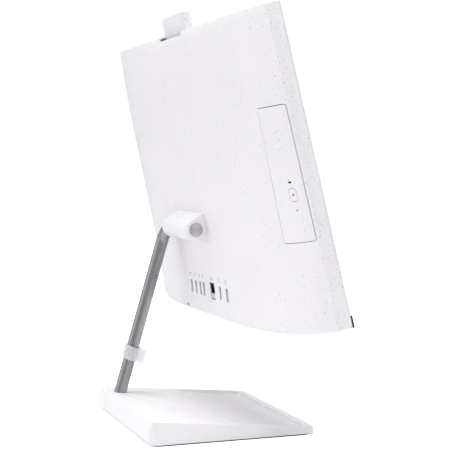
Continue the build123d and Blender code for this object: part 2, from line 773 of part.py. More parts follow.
# ---- base: wedge shell, weight, plate, pad ----
half_base = base_width / 2
half_length = base_depth / 2
shell_bottom = pad_height
plate_top = pad_height + plate_height
boss_radius = 4.6
boss_bore = 1.9


def base_plan(inset, rear_radius, front_radius):
    """Plan of the base with its corners rounded."""
    with BuildSketch(Plane.XY.offset(shell_bottom)) as plan:
        Rectangle(base_width - 2 * inset, base_depth - 2 * inset)
        corners = plan.vertices().sort_by(Axis.Y)
        fillet(corners[2:], radius=rear_radius)
        fillet(plan.vertices().sort_by(Axis.Y)[:2], radius=front_radius)
    return plan.sketch


def base_profile(inset, lower):
    """Side view of the wedge, with its slanted top and its rear face leaning forwards."""
    top_rear = base_rear_height - inset
    top_front = base_front_height - inset
    rear_y = half_length - inset
    with BuildSketch(Plane.YZ.offset(-half_base)) as profile:
        with BuildLine():
            Polyline(
                (-half_length + inset, lower),
                (rear_y - 4, lower),
                (rear_y, lower + 5),
                (rear_y - base_rear_lean, top_rear),
                (-half_length + inset, top_front),
                close=True,
            )
        make_face()
    return profile.sketch


def top_height(y):
    """Height of the base's slanted top at a given y."""
    slope = (base_rear_height - base_front_height) / (base_depth - base_rear_lean)
    return base_front_height + slope * (y + half_length)


def top_prism(half_x, y_range, depth_range):
    """Block under the slanted top between two depths measured down from it."""
    rear_y = max(y_range)
    front_y_end = min(y_range)
    with BuildSketch(Plane.YZ.offset(-half_x)) as profile:
        with BuildLine():
            Polyline(
                (front_y_end, top_height(front_y_end) - depth_range[0]),
                (rear_y, top_height(rear_y) - depth_range[0]),
                (rear_y, top_height(rear_y) - depth_range[1]),
                (front_y_end, top_height(front_y_end) - depth_range[1]),
                close=True,
            )
        make_face()
    return extrude(profile.sketch, amount=2 * half_x, mode=Mode.PRIVATE)


screw_places = [(-100, 66), (100, 50), (-96, -88), (96, -88)]
with BuildPart() as base_hollow:
    extrude(base_plan(base_wall, 12.5, 4), amount=40)
    extrude(base_profile(base_wall, shell_bottom), amount=base_width, mode=Mode.INTERSECT)
with BuildPart() as base_bosses:
    with BuildSketch(Plane.XY.offset(plate_top)) as boss_plan:
        with Locations(*screw_places):
            Circle(boss_radius)
    extrude(boss_plan.sketch, amount=40)
    extrude(base_profile(1, plate_top), amount=base_width, mode=Mode.INTERSECT)
with BuildPart() as base_shell:
    extrude(base_plan(0, 15, 5), amount=40)
    extrude(base_profile(0, shell_bottom), amount=base_width, mode=Mode.INTERSECT)
    add(base_hollow.part, mode=Mode.SUBTRACT)
    add(base_bosses.part)
    add(top_prism(tray_half + 2, (tray_rear_y + base_wall, tray_front_y - base_wall), (1, tray_depth + 2)))
    add(top_prism(tray_half, (tray_rear_y, tray_front_y), (-8, tray_depth)), mode=Mode.SUBTRACT)
    add(top_prism(tray_half, (tray_rear_y + 2.2, tray_rear_y + 1.4), (-8, 0.8)), mode=Mode.SUBTRACT)
    with BuildSketch(Plane.XY.offset(plate_top)) as boss_holes:
        with Locations(*screw_places):
            Circle(boss_bore)
    extrude(boss_holes.sketch, amount=2.9, mode=Mode.SUBTRACT)
    with BuildSketch(leg_plane(0)) as leg_hole:
        Circle(tube_radius + 0.15)
    extrude(leg_hole.sketch, amount=40, mode=Mode.SUBTRACT)
save(base_shell.part, "base_shell")

plate_inset = base_wall + 0.3
with BuildPart() as base_plate:
    extrude(base_plan(plate_inset, 12.2, 3.7), amount=plate_height)
    extrude(base_profile(plate_inset, shell_bottom), amount=base_width, mode=Mode.INTERSECT)
    with BuildSketch(Plane.XY.offset(pad_height)) as plate_holes:
        with Locations(*screw_places):
            Circle(boss_bore + 0.3)
    extrude(plate_holes.sketch, amount=plate_height, mode=Mode.SUBTRACT)
save(base_plate.part, "base_plate")

with BuildPart() as rubber_pad:
    with BuildSketch() as pad_plan:
        with Locations((0, -2)):
            Rectangle(base_width - 4, base_depth - 9)
        fillet(pad_plan.vertices(), radius=12)
    extrude(pad_plan.sketch, amount=pad_height)
save(rubber_pad.part, "rubber_pad")

with BuildPart() as base_weight:
    with BuildSketch(Plane.XY.offset(plate_top)) as weight_plan:
        with Locations((0, 42)):
            Rectangle(182, 78)
        fillet(weight_plan.vertices(), radius=8)
    extrude(weight_plan.sketch, amount=9)
    with BuildSketch(leg_plane(0)) as weight_hole:
        Circle(foot_radius + 0.2)
    extrude(weight_hole.sketch, amount=30, both=True, mode=Mode.SUBTRACT)
save(base_weight.part, "base_weight")

with BuildPart() as tube_foot:
    with BuildSketch(leg_plane(-2)) as foot_outline:
        Circle(foot_radius)
    extrude(foot_outline.sketch, amount=12)
    with BuildSketch(leg_plane(0)) as foot_bore:
        Circle(tube_radius)
    extrude(foot_bore.sketch, amount=20, mode=Mode.SUBTRACT)
    split(bisect_by=Plane.XY.offset(plate_top), keep=Keep.TOP)
save(tube_foot.part, "tube_foot")

with BuildPart() as base_screws:
    for x, y in screw_places:
        with BuildSketch(Plane.XY.offset(pad_height)) as screw_plan:
            with Locations((x, y)):
                Circle(1.9)
        extrude(screw_plan.sketch, amount=4.3)
save(base_screws.part, "base_screws")
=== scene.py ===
"""All-in-one computer on a bent tube stand, seen from behind and to one side.

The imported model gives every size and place. The pieces here give it rounded edges, real grilles,
contacts, screws and finishes, and each one rides on the body that it belongs to.
"""

import json
import math

import bmesh
import bpy
from bpy.props import FloatProperty, FloatVectorProperty, IntProperty, PointerProperty
from mathutils import Matrix, Vector


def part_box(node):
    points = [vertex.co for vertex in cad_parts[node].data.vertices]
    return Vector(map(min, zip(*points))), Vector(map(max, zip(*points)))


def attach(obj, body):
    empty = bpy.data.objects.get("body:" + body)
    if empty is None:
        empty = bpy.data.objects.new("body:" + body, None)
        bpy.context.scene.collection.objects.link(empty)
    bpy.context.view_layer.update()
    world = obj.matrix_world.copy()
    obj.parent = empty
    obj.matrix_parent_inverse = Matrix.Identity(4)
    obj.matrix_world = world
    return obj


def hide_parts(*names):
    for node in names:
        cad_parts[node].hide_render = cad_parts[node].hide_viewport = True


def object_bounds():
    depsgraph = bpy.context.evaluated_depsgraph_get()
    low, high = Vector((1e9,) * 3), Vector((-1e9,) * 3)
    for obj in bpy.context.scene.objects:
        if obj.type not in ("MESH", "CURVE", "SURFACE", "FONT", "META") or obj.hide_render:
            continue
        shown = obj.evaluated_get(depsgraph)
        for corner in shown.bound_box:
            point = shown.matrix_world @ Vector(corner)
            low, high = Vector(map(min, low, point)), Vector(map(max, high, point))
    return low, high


bl_info = {
    "name": "All-in-one computer",
    "version": (1, 0, 0),
    "blender": (4, 5, 0),
    "location": "3D View > Sidebar > Computer",
    "description": "Builds the finished all-in-one computer round its packed frame",
    "category": "Object",
}

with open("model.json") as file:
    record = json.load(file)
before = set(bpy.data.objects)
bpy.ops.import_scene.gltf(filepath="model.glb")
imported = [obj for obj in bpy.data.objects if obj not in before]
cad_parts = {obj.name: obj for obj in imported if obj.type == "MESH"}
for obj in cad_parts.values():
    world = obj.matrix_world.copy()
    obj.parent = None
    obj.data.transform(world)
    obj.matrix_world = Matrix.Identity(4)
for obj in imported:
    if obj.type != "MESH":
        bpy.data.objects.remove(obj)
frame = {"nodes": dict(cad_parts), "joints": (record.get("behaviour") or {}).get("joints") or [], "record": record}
nodes = frame["nodes"]
CAD_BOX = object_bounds()
MM = 0.001


# ---- the display's own axes: across, back through its thickness, and up its slope ----
def joint(name):
    """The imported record's row for one joint."""
    return next(row for row in frame["joints"] if row["name"] == name)


ACROSS = Vector((1, 0, 0))
UP = Vector(joint("camera_rise")["axis"]).normalized()
BACK = UP.cross(ACROSS)
DISPLAY = Matrix((ACROSS, BACK, UP)).transposed()
TILT = math.atan2(UP.y, UP.z)
HINGE = Vector(joint("display_tilt")["pos_m"])
LEG = Vector(joint("clip_slide")["axis"]).normalized()


def span(node):
    """Lowest and highest corner of a node along the display's own axes."""
    places = [DISPLAY.transposed() @ v.co for v in nodes[node].data.vertices]
    low = Vector([min(p[i] for p in places) for i in range(3)])
    high = Vector([max(p[i] for p in places) for i in range(3)])
    return low, high


# ---- sizes and colours that a user would change ----
def colour(name, description, hex_value):
    """A colour property whose default is an sRGB hex value."""
    return FloatVectorProperty(
        name=name,
        description=description,
        default=linear(hex_value)[:3],
        size=3,
        min=0,
        max=1,
        subtype="COLOR",
    )


def length(name, description, millimetres, **limits):
    """A length property whose default is in millimetres."""
    return FloatProperty(
        name=name,
        description=description,
        default=millimetres * MM,
        precision=5,
        subtype="DISTANCE",
        unit="LENGTH",
        **limits,
    )


def power(name, description, watts):
    """A property for the power of a light."""
    return FloatProperty(name=name, description=description, default=watts, min=0, unit="POWER")


def linear(hex_value):
    """An sRGB hex colour as linear red, green, blue and one."""
    parts = [int(hex_value[i : i + 2], 16) / 255 for i in (1, 3, 5)]
    return (*[p / 12.92 if p <= 0.04045 else ((p + 0.055) / 1.055) ** 2.4 for p in parts], 1.0)


class ComputerFinish(bpy.types.PropertyGroup):
    shell: colour("Shell", "Moulded plastic of the cover and base", "#F1EFF2")
    bezel: colour("Bezel", "Plastic of the front frame", "#EDEBEE")
    fleck: colour("Flecks", "Dark flecks in the shell's plastic", "#7C7A80")
    fleck_spacing: length("Fleck spacing", "Mean distance between two flecks", 3.0, min=0.0005)
    fleck_size: length("Fleck size", "Radius of the largest flecks", 0.58, min=0.00005)
    steel: colour("Tube steel", "Satin metal of the tube", "#A3A2A5")
    cap_steel: colour("Cap steel", "Turned metal of the hinge cap", "#D0CFD2")
    clip: colour("Clip", "Tint of the cable clip", "#EEF1F4")
    glass: colour("Screen", "Dark front of the screen", "#07080A")
    cloth: colour("Grille", "Cloth and mesh in front of the speakers", "#17171A")


class ComputerSizes(bpy.types.PropertyGroup):
    edge_round: length("Edge rounding", "Radius of the moulded edges", 0.45, min=0.00002)
    base_round: length("Base rounding", "Radius of the base's edges", 0.9, min=0.00002)
    hole_pitch: length("Hole pitch", "Distance between the grille's holes", 2.0, min=0.0008)
    hole_share: FloatProperty(
        name="Hole share",
        description="Width of a grille hole as a share of the pitch",
        default=0.66,
        min=0.1,
        max=0.95,
        subtype="FACTOR",
    )
    pin_width: length("Pin width", "Width of a contact in the sockets", 0.55, min=0.0001)
    groove_pitch: length(
        "Groove pitch", "Distance between the turned grooves of the cap", 0.9, min=0.0002
    )
    network_pins: IntProperty(
        name="Network contacts", description="Contacts in the network socket", default=8, min=1
    )


class ComputerStudio(bpy.types.PropertyGroup):
    floor: colour("Floor", "Floor and backdrop", "#F7F6F8")
    key_power: power("Key light", "Power of the soft light behind", 11.5)
    top_power: power("Top light", "Power of the soft light above", 60.0)
    fill_power: power("Front light", "Power of the soft light in front", 22.0)
    side_power: power("Side light", "Power of the soft light on the near side", 2.5)
    bright_side: FloatProperty(
        name="Bright side", description="Brightness of the surroundings behind", default=0.87, min=0
    )
    dim_side: FloatProperty(
        name="Dim side", description="Brightness of the surroundings in front", default=0.34, min=0
    )
    floor_glow: FloatProperty(
        name="Floor glow", description="Light that the paper backdrop lets through", default=0.6, min=0
    )
    focal: FloatProperty(
        name="Focal length", description="Lens of the camera", default=97.4, min=10, unit="CAMERA"
    )


# ---- materials ----
def add(tree, kind, settings=None, links=None):
    """Adds a node; settings go to its attributes or sockets, links join its inputs to other sockets."""
    node = tree.nodes.new(kind)
    for key, value in (settings or {}).items():
        if isinstance(key, str) and hasattr(node, key):
            setattr(node, key, value)
        else:
            node.inputs[key].default_value = value
    for key, source in (links or {}).items():
        tree.links.new(source, node.inputs[key])
    return node


def new_material(name, shader):
    """A material with a Principled shader: returns it, its tree, the shader and object coordinates."""
    material = bpy.data.materials.new(name)
    material.use_nodes = True
    tree = material.node_tree
    tree.nodes.clear()
    surface = add(tree, "ShaderNodeBsdfPrincipled", shader)
    add(tree, "ShaderNodeOutputMaterial", links={"Surface": surface.outputs["BSDF"]})
    coords = add(tree, "ShaderNodeTexCoord").outputs["Object"]
    return material, tree, surface, coords


def toned(base, share):
    """A colour made darker or lighter by a share."""
    return [min(1.0, c * share) for c in base[:3]] + [1.0]


def patches(tree, coords, width, detail=2.0, low=0.0, high=1.0):
    """Soft patches about one width (in millimetres) across, held between two values."""
    clouds = add(
        tree,
        "ShaderNodeTexNoise",
        {"Scale": 1 / (width * MM), "Detail": detail, "Roughness": 0.5},
        {"Vector": coords},
    )
    spread = add(
        tree,
        "ShaderNodeMapRange",
        {"clamp": True, "From Min": 0.3, "From Max": 0.7, "To Min": low, "To Max": high},
        {"Value": clouds.outputs["Fac"]},
    )
    return spread.outputs["Result"]


def clouded(tree, coords, base, share, width, detail=2.0):
    """A colour that drifts in soft patches between a toned colour and the full one."""
    tint = add(
        tree,
        "ShaderNodeMix",
        {"data_type": "RGBA", 6: toned(base, share), 7: base},
        {0: patches(tree, coords, width, detail)},
    )
    return tint.outputs[2]


def grained(tree, surface, coords, width, depth, strength):
    """Gives a shader the relief of a fine even grain; width and depth are in millimetres."""
    grains = add(
        tree,
        "ShaderNodeTexNoise",
        {"Scale": 1 / (width * MM), "Detail": 2.0, "Roughness": 0.5},
        {"Vector": coords},
    )
    relief = add(
        tree,
        "ShaderNodeBump",
        {"Strength": strength, "Distance": depth * MM},
        {"Height": grains.outputs["Fac"]},
    )
    tree.links.new(relief.outputs["Normal"], surface.inputs["Normal"])


def flecks(tree, coords, spacing, largest, channel, rarity):
    """Round specks of mixed sizes in some cells of a net: returns them and each cell's random colour."""
    cells = add(
        tree,
        "ShaderNodeTexVoronoi",
        {"feature": "F1", "Scale": 1 / spacing, "Randomness": 1.0},
        {"Vector": coords},
    )
    pick = add(tree, "ShaderNodeSeparateColor", links={"Color": cells.outputs["Color"]}).outputs
    radius = add(
        tree,
        "ShaderNodeMapRange",
        {"clamp": True, "From Min": rarity, "From Max": 1.0, "To Max": largest},
        {"Value": pick[channel]},
    )
    inside = add(
        tree,
        "ShaderNodeMath",
        {"operation": "LESS_THAN"},
        {0: cells.outputs["Distance"], 1: radius.outputs["Result"]},
    )
    return inside.outputs[0], pick


def flecked_plastic(name, base, finish):
    """Moulded ABS with grey mineral flecks: a soft satin skin with sparse specks under it.

    The real flecks go down to 0.2 mm; the finest are drawn at 0.4 mm so that they show."""
    material, tree, surface, coords = new_material(name, {"Roughness": 0.42, "IOR": 1.52})
    largest = finish.fleck_size / finish.fleck_spacing
    coarse, pick = flecks(tree, coords, finish.fleck_spacing, largest, "Red", 0.45)
    darkness = add(
        tree, "ShaderNodeMapRange", {"clamp": True, "To Min": 0.35}, {"Value": pick["Green"]}
    )
    coarse_weight = add(
        tree, "ShaderNodeMath", {"operation": "MULTIPLY"}, {0: coarse, 1: darkness.outputs["Result"]}
    )
    fine, _ = flecks(tree, coords, finish.fleck_spacing / 2.4, largest * 1.2, "Blue", 0.5)
    fine_weight = add(tree, "ShaderNodeMath", {"operation": "MULTIPLY", 1: 0.45}, {0: fine})
    both = add(
        tree,
        "ShaderNodeMath",
        {"operation": "MAXIMUM"},
        {0: coarse_weight.outputs[0], 1: fine_weight.outputs[0]},
    )
    flecked = add(
        tree,
        "ShaderNodeMix",
        {"data_type": "RGBA", 7: (*finish.fleck, 1.0)},
        {0: both.outputs[0], 6: clouded(tree, coords, base, 0.975, 60, 3.0)},
    )
    tree.links.new(flecked.outputs[2], surface.inputs["Base Color"])
    tree.links.new(patches(tree, coords, 25, 2.0, 0.38, 0.47), surface.inputs["Roughness"])
    grained(tree, surface, coords, 0.5, 0.02, 0.35)
    return material


def moulded_plastic(name, base, roughness=0.5, grain=0.4):
    """Spark-textured ABS: even colour, a fine grain that breaks up the gloss."""
    material, tree, surface, coords = new_material(name, {"Roughness": roughness, "IOR": 1.5})
    tree.links.new(clouded(tree, coords, base, 0.9, 18, 3.0), surface.inputs["Base Color"])
    gloss = patches(tree, coords, 6, 2.0, roughness - 0.05, roughness + 0.06)
    tree.links.new(gloss, surface.inputs["Roughness"])
    grained(tree, surface, coords, grain, 0.03, 0.4)
    return material


def brushed_metal(name, base, roughness=0.3, along=(0, 0, 1), lean=0.0):
    """Sheet or tube metal with a drawn grain: long fine lines, 0.35 mm wide, along one direction."""
    material, tree, surface, coords = new_material(name, {"Metallic": 1.0, "Roughness": roughness})
    line_width = 0.35
    pulled = add(
        tree,
        "ShaderNodeMapping",
        {"Rotation": (lean, 0, 0), "Scale": [0.03 if part else 1.0 for part in along]},
        {"Vector": coords},
    )
    lines = add(
        tree,
        "ShaderNodeTexNoise",
        {"Scale": 1 / (line_width * MM), "Detail": 3.0, "Roughness": 0.5},
        {"Vector": pulled.outputs["Vector"]},
    ).outputs["Fac"]
    bright = add(
        tree,
        "ShaderNodeMapRange",
        {"clamp": True, "From Min": 0.3, "From Max": 0.7},
        {"Value": lines},
    )
    tint = add(
        tree,
        "ShaderNodeMix",
        {"data_type": "RGBA", 6: toned(base, 0.84), 7: base},
        {0: bright.outputs["Result"]},
    )
    tree.links.new(tint.outputs[2], surface.inputs["Base Color"])
    gloss = add(
        tree,
        "ShaderNodeMapRange",
        {
            "clamp": True,
            "From Min": 0.25,
            "From Max": 0.75,
            "To Min": roughness - 0.06,
            "To Max": roughness + 0.1,
        },
        {"Value": lines},
    )
    tree.links.new(gloss.outputs["Result"], surface.inputs["Roughness"])
    relief = add(
        tree, "ShaderNodeBump", {"Strength": 0.3, "Distance": 0.01 * MM}, {"Height": lines}
    )
    tree.links.new(relief.outputs["Normal"], surface.inputs["Normal"])
    return material


def turned_metal(name, base, centre, pitch):
    """Steel face turned on a lathe: fine rings about its centre, a gloss stretched round them, and painted shade
    in two dark sectors that stands in for the dark parts of its reflection.
    """
    material, tree, surface, coords = new_material(
        name, {"Metallic": 1.0, "Roughness": 0.3, "Anisotropic": 0.85}
    )
    shifted = add(tree, "ShaderNodeVectorMath", {"operation": "SUBTRACT", 1: centre}, {0: coords})
    flat = add(
        tree, "ShaderNodeMapping", {"Scale": (0, 1, 1)}, {"Vector": shifted.outputs[0]}
    ).outputs["Vector"]
    distance = add(tree, "ShaderNodeVectorMath", {"operation": "LENGTH"}, {0: flat})
    turns = add(
        tree,
        "ShaderNodeMath",
        {"operation": "MULTIPLY", 1: 2 * math.pi / pitch},
        {0: distance.outputs["Value"]},
    )
    wave = add(tree, "ShaderNodeMath", {"operation": "SINE"}, {0: turns.outputs[0]})
    rings = add(
        tree,
        "ShaderNodeMapRange",
        {"clamp": True, "From Min": -1.0},
        {"Value": wave.outputs[0]},
    ).outputs["Result"]
    grooved = add(
        tree, "ShaderNodeMix", {"data_type": "RGBA", 6: toned(base, 0.8), 7: base}, {0: rings}
    )
    # painted shade: two dark sectors, opposite each other, stand in for the dark parts of the reflection on turned
    # metal
    axes = add(tree, "ShaderNodeSeparateXYZ", links={"Vector": flat})
    angle = add(
        tree, "ShaderNodeMath", {"operation": "ARCTAN2"}, {0: axes.outputs["Z"], 1: axes.outputs["Y"]}
    )
    doubled = add(tree, "ShaderNodeMath", {"operation": "MULTIPLY", 1: 2.0}, {0: angle.outputs[0]})
    lay = add(tree, "ShaderNodeMath", {"operation": "COSINE"}, {0: doubled.outputs[0]})
    painted_shade_sectors = add(
        tree,
        "ShaderNodeMapRange",
        {"clamp": True, "From Min": -0.8, "From Max": 0.8, "To Max": 0.42},
        {"Value": lay.outputs[0]},
    )
    # painted shade: the ringed colour is darkened in the two sectors
    painted_shade_colour = add(
        tree,
        "ShaderNodeMix",
        {"data_type": "RGBA", 7: toned(base, 0.45)},
        {0: painted_shade_sectors.outputs["Result"], 6: grooved.outputs[2]},
    )
    tree.links.new(painted_shade_colour.outputs[2], surface.inputs["Base Color"])
    around = add(
        tree, "ShaderNodeVectorMath", {"operation": "CROSS_PRODUCT", 1: (1, 0, 0)}, {0: flat}
    )
    direction = add(
        tree, "ShaderNodeVectorMath", {"operation": "NORMALIZE"}, {0: around.outputs[0]}
    )
    tree.links.new(direction.outputs[0], surface.inputs["Tangent"])
    relief = add(
        tree, "ShaderNodeBump", {"Strength": 0.4, "Distance": 0.02 * MM}, {"Height": rings}
    )
    tree.links.new(relief.outputs["Normal"], surface.inputs["Normal"])
    return material


def clear_glass(name, base):
    """Coated cover glass over a black panel: near-black, with a hard even gloss."""
    material, tree, surface, coords = new_material(
        name, {"Roughness": 0.09, "IOR": 1.52, "Coat Weight": 0.6, "Coat Roughness": 0.03}
    )
    tree.links.new(clouded(tree, coords, base, 0.7, 90), surface.inputs["Base Color"])
    tree.links.new(patches(tree, coords, 40, 2.0, 0.07, 0.12), surface.inputs["Roughness"])
    return material


def frosted_plastic(name, base):
    """Polypropylene clip: milky and half clear, with softly scattered edges."""
    material, tree, surface, coords = new_material(
        name, {"Roughness": 0.24, "IOR": 1.49, "Alpha": 0.42}
    )
    tree.links.new(clouded(tree, coords, base, 0.9, 8), surface.inputs["Base Color"])
    tree.links.new(patches(tree, coords, 5, 2.0, 0.22, 0.34), surface.inputs["Roughness"])
    return material


def woven_cloth(name, base):
    """Acoustic cloth: crossed round threads, 0.6 mm apart, with a soft edge sheen."""
    material, tree, surface, coords = new_material(name, {"Roughness": 0.85, "Sheen Weight": 0.3})
    thread = 0.6 * MM
    wave_share = 0.32  # the wave texture's scale for one band in each unit of length
    level = add(tree, "ShaderNodeMapping", {"Rotation": (-TILT, 0, 0)}, {"Vector": coords})
    threads = [
        add(
            tree,
            "ShaderNodeTexWave",
            {"bands_direction": way, "Scale": wave_share / thread, "Distortion": 0.3},
            {"Vector": level.outputs["Vector"]},
        ).outputs["Fac"]
        for way in ("X", "Z")
    ]
    weave = add(
        tree, "ShaderNodeMath", {"operation": "MULTIPLY"}, {0: threads[0], 1: threads[1]}
    ).outputs[0]
    tint = add(
        tree, "ShaderNodeMix", {"data_type": "RGBA", 6: base, 7: toned(base, 2.2)}, {0: weave}
    )
    tree.links.new(tint.outputs[2], surface.inputs["Base Color"])
    relief = add(
        tree, "ShaderNodeBump", {"Strength": 0.6, "Distance": 0.15 * MM}, {"Height": weave}
    )
    tree.links.new(relief.outputs["Normal"], surface.inputs["Normal"])
    return material


def circuit_board(name, base):
    """Glass-epoxy board under solder mask: fine copper tracks show lighter through the green."""
    material, tree, surface, coords = new_material(name, {"Roughness": 0.35, "IOR": 1.5})
    track_spacing = 8 * MM
    tracks = add(
        tree,
        "ShaderNodeTexBrick",
        {
            "Scale": 1 / track_spacing,
            "Mortar Size": 0.05,
            "Color1": base,
            "Color2": toned(base, 0.8),
            "Mortar": [min(1.0, c * 1.9 + 0.01) for c in base[:3]] + [1.0],
        },
        {"Vector": coords},
    )
    tree.links.new(tracks.outputs["Color"], surface.inputs["Base Color"])
    relief = add(
        tree,
        "ShaderNodeBump",
        {"Strength": 0.4, "Distance": 0.02 * MM},
        {"Height": tracks.outputs["Fac"]},
    )
    tree.links.new(relief.outputs["Normal"], surface.inputs["Normal"])
    return material


def make_materials(finish):
    """Every finish of the computer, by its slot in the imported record."""
    shell = (*finish.shell, 1.0)
    steel = (*finish.steel, 1.0)
    leg_lean = math.atan2(-LEG.y, LEG.z)
    return {
        "speckled_white": flecked_plastic("Flecked white ABS", shell, finish),
        "bezel_white": moulded_plastic("White ABS", (*finish.bezel, 1.0), 0.42),
        "grille_fabric": woven_cloth("Acoustic cloth", (*finish.cloth, 1.0)),
        "screen_glass": clear_glass("Coated screen glass", (*finish.glass, 1.0)),
        "panel_black": moulded_plastic("Black panel frame", linear("#1B1C1E"), 0.55),
        "sheet_steel": brushed_metal("Zinc-plated sheet steel", linear("#B9BABD"), 0.34, (1, 0, 0)),
        "dark_steel": brushed_metal("Blackened steel", linear("#5A5A5E"), 0.42, (0, 0, 1)),
        "brass_fittings": brushed_metal("Turned brass", linear("#C9A557"), 0.28, (0, 1, 0)),
        "tube_metal": brushed_metal("Satin drawn steel", steel, 0.2, (0, 0, 1), leg_lean),
        "circuit_board": circuit_board("Green solder mask", linear("#1C5B3A")),
        "chip_black": moulded_plastic("Moulded epoxy", linear("#222225"), 0.45),
        "copper": brushed_metal("Bare copper", linear("#C77B54"), 0.3, (1, 0, 0)),
        "fin_aluminium": brushed_metal("Folded aluminium", linear("#C9CBCE"), 0.3, (0, 0, 1)),
        "black_plastic": moulded_plastic("Black ABS", linear("#232326"), 0.5),
        "flap_grey": moulded_plastic("Pale grey ABS", linear("#D5D5D9"), 0.45),
        "light_guide": moulded_plastic("Smoked light guide", linear("#3A3D3B"), 0.2, 1.2),
        "lens_glass": clear_glass("Coated lens glass", linear("#14101E")),
        "clear_plastic": frosted_plastic("Frosted polypropylene", (*finish.clip, 1.0)),
        "rubber": moulded_plastic("Moulded rubber", linear("#202022"), 0.8, 0.8),
    }


MATERIALS = {}
SLOT_OF = {row["node"]: row["material_slot"] for row in frame["record"]["subparts"]}
BODY_OF = {n: body for body, names in frame["record"]["behaviour"]["bodies"].items() for n in names}


# ---- making pieces ----
WELD = 0.002 * MM  # points nearer than this are one point
SHARP_EDGE = math.radians(38)  # edges that turn by more are rounded


def paint(names):
    """Gives CAD nodes the finish of their slot."""
    for name in names:
        target = nodes[name].data
        target.materials.clear()
        target.materials.append(MATERIALS[SLOT_OF[name]])


def publish(mesh, name, body, slot_name, material=None, replaced=()):
    """Links a finished mesh as a piece on its body, with its slot and the nodes that it stands for."""
    mesh.name = name
    piece = bpy.data.objects.new(name, mesh)
    bpy.context.scene.collection.objects.link(piece)
    mesh.materials.clear()
    mesh.materials.append(material or MATERIALS[slot_name])
    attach(piece, body)
    if replaced:
        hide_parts(*replaced)
    return piece


def smooth(mesh, degrees=32):
    """Smooth shading with edges sharper than an angle kept crisp."""
    mesh.shade_smooth()
    mesh.set_sharp_from_angle(angle=math.radians(degrees))


def rounded_copy(node, name, radius, segments=2, flat=0.35):
    """A copy of a node with its sharp edges rounded, which stands for it."""
    shape = bmesh.new()
    shape.from_mesh(nodes[node].data)
    bmesh.ops.remove_doubles(shape, verts=shape.verts, dist=WELD)
    if flat > 0:
        bmesh.ops.dissolve_limit(
            shape, angle_limit=math.radians(flat), verts=shape.verts, edges=shape.edges
        )
    mesh = bpy.data.meshes.new(name)
    shape.to_mesh(mesh)
    shape.free()
    holder = bpy.data.objects.new(name + "_draft", mesh)
    bpy.context.scene.collection.objects.link(holder)
    bevel = holder.modifiers.new("Rounding", "BEVEL")
    bevel.width = radius
    bevel.segments = segments
    bevel.limit_method = "ANGLE"
    bevel.angle_limit = SHARP_EDGE
    bevel.use_clamp_overlap = True
    bevel.miter_outer = "MITER_ARC"
    bevel.harden_normals = False
    finished = flatten(holder)
    smooth(finished, 40)
    return publish(finished, name, BODY_OF[node], SLOT_OF[node], replaced=(node,))


def flatten(holder):
    """The evaluated mesh of a draft object, which is then removed."""
    bpy.context.view_layer.update()
    graph = bpy.context.evaluated_depsgraph_get()
    mesh = bpy.data.meshes.new_from_object(holder.evaluated_get(graph))
    draft_mesh = holder.data
    bpy.data.objects.remove(holder)
    bpy.data.meshes.remove(draft_mesh)
    return mesh


def drawn(build, placing):
    """A mesh drawn by a function into a bmesh and then put in place."""
    shape = bmesh.new()
    build(shape)
    bmesh.ops.transform(shape, matrix=placing, verts=shape.verts)
    bmesh.ops.recalc_face_normals(shape, faces=shape.faces)
    mesh = bpy.data.meshes.new("drawn")
    shape.to_mesh(mesh)
    shape.free()
    return mesh


def lathe(shape, profile, steps=64):
    """Turns a profile of (radius, height) points about Z into a closed body."""
    rings = []
    for radius, height in profile:
        if radius == 0:
            rings.append([shape.verts.new((0, 0, height))])
            continue
        ring = [
            shape.verts.new(
                (
                    radius * math.cos(2 * math.pi * i / steps),
                    radius * math.sin(2 * math.pi * i / steps),
                    height,
                )
            )
            for i in range(steps)
        ]
        rings.append(ring)
    for lower, upper in zip(rings, rings[1:]):
        for i in range(steps):
            j = (i + 1) % steps
            corners = []
            for ring, k in ((lower, i), (lower, j), (upper, j), (upper, i)):
                if ring[k % len(ring)] not in corners:
                    corners.append(ring[k % len(ring)])
            if len(corners) > 2:
                shape.faces.new(corners)


def block(shape, low, high):
    """A closed box between two corners, with a small chamfer on its edges."""
    made = bmesh.ops.create_cube(shape, size=1)
    size = Vector(high) - Vector(low)
    middle = (Vector(high) + Vector(low)) / 2
    bmesh.ops.scale(shape, vec=size, verts=made["verts"])
    bmesh.ops.translate(shape, vec=middle, verts=made["verts"])
    edges = {e for v in made["verts"] for e in v.link_edges}
    chamfer = min(size) * 0.12
    bmesh.ops.bevel(shape, geom=list(edges), offset=chamfer, segments=1, affect="EDGES")


def on_display(x, n, u):
    """A matrix that puts local X, Y, Z along the display's across, back and up at a place."""
    return DISPLAY.to_4x4() @ Matrix.Translation((x, n, u))


# ---- repeating shapes made by geometry nodes ----
def new_tree(name, inputs):
    """A geometry node tree with a geometry output and named inputs."""
    tree = bpy.data.node_groups.new(name, "GeometryNodeTree")
    tree.interface.new_socket("Geometry", in_out="OUTPUT", socket_type="NodeSocketGeometry")
    for label, kind, value in inputs:
        socket = tree.interface.new_socket(label, in_out="INPUT", socket_type=kind)
        if value is not None:
            socket.default_value = value
    return tree, add(tree, "NodeGroupInput").outputs


def close_tree(tree, geometry, outer):
    """Ends a tree in realised instances with one material."""
    real = add(tree, "GeometryNodeRealizeInstances", links={"Geometry": geometry})
    painted = add(
        tree,
        "GeometryNodeSetMaterial",
        links={"Geometry": real.outputs[0], "Material": outer["Material"]},
    )
    add(tree, "NodeGroupOutput", links={"Geometry": painted.outputs[0]})


def grow(tree, name, values):
    """Runs a tree with its inputs set by identifier and returns the plain mesh."""
    holder = bpy.data.objects.new(name + "_draft", bpy.data.meshes.new(name + "_draft"))
    bpy.context.scene.collection.objects.link(holder)
    modifier = holder.modifiers.new("Grow", "NODES")
    modifier.node_group = tree
    for item in tree.interface.items_tree:
        if item.in_out == "INPUT" and item.name in values:
            modifier[item.identifier] = values[item.name]
    return flatten(holder)


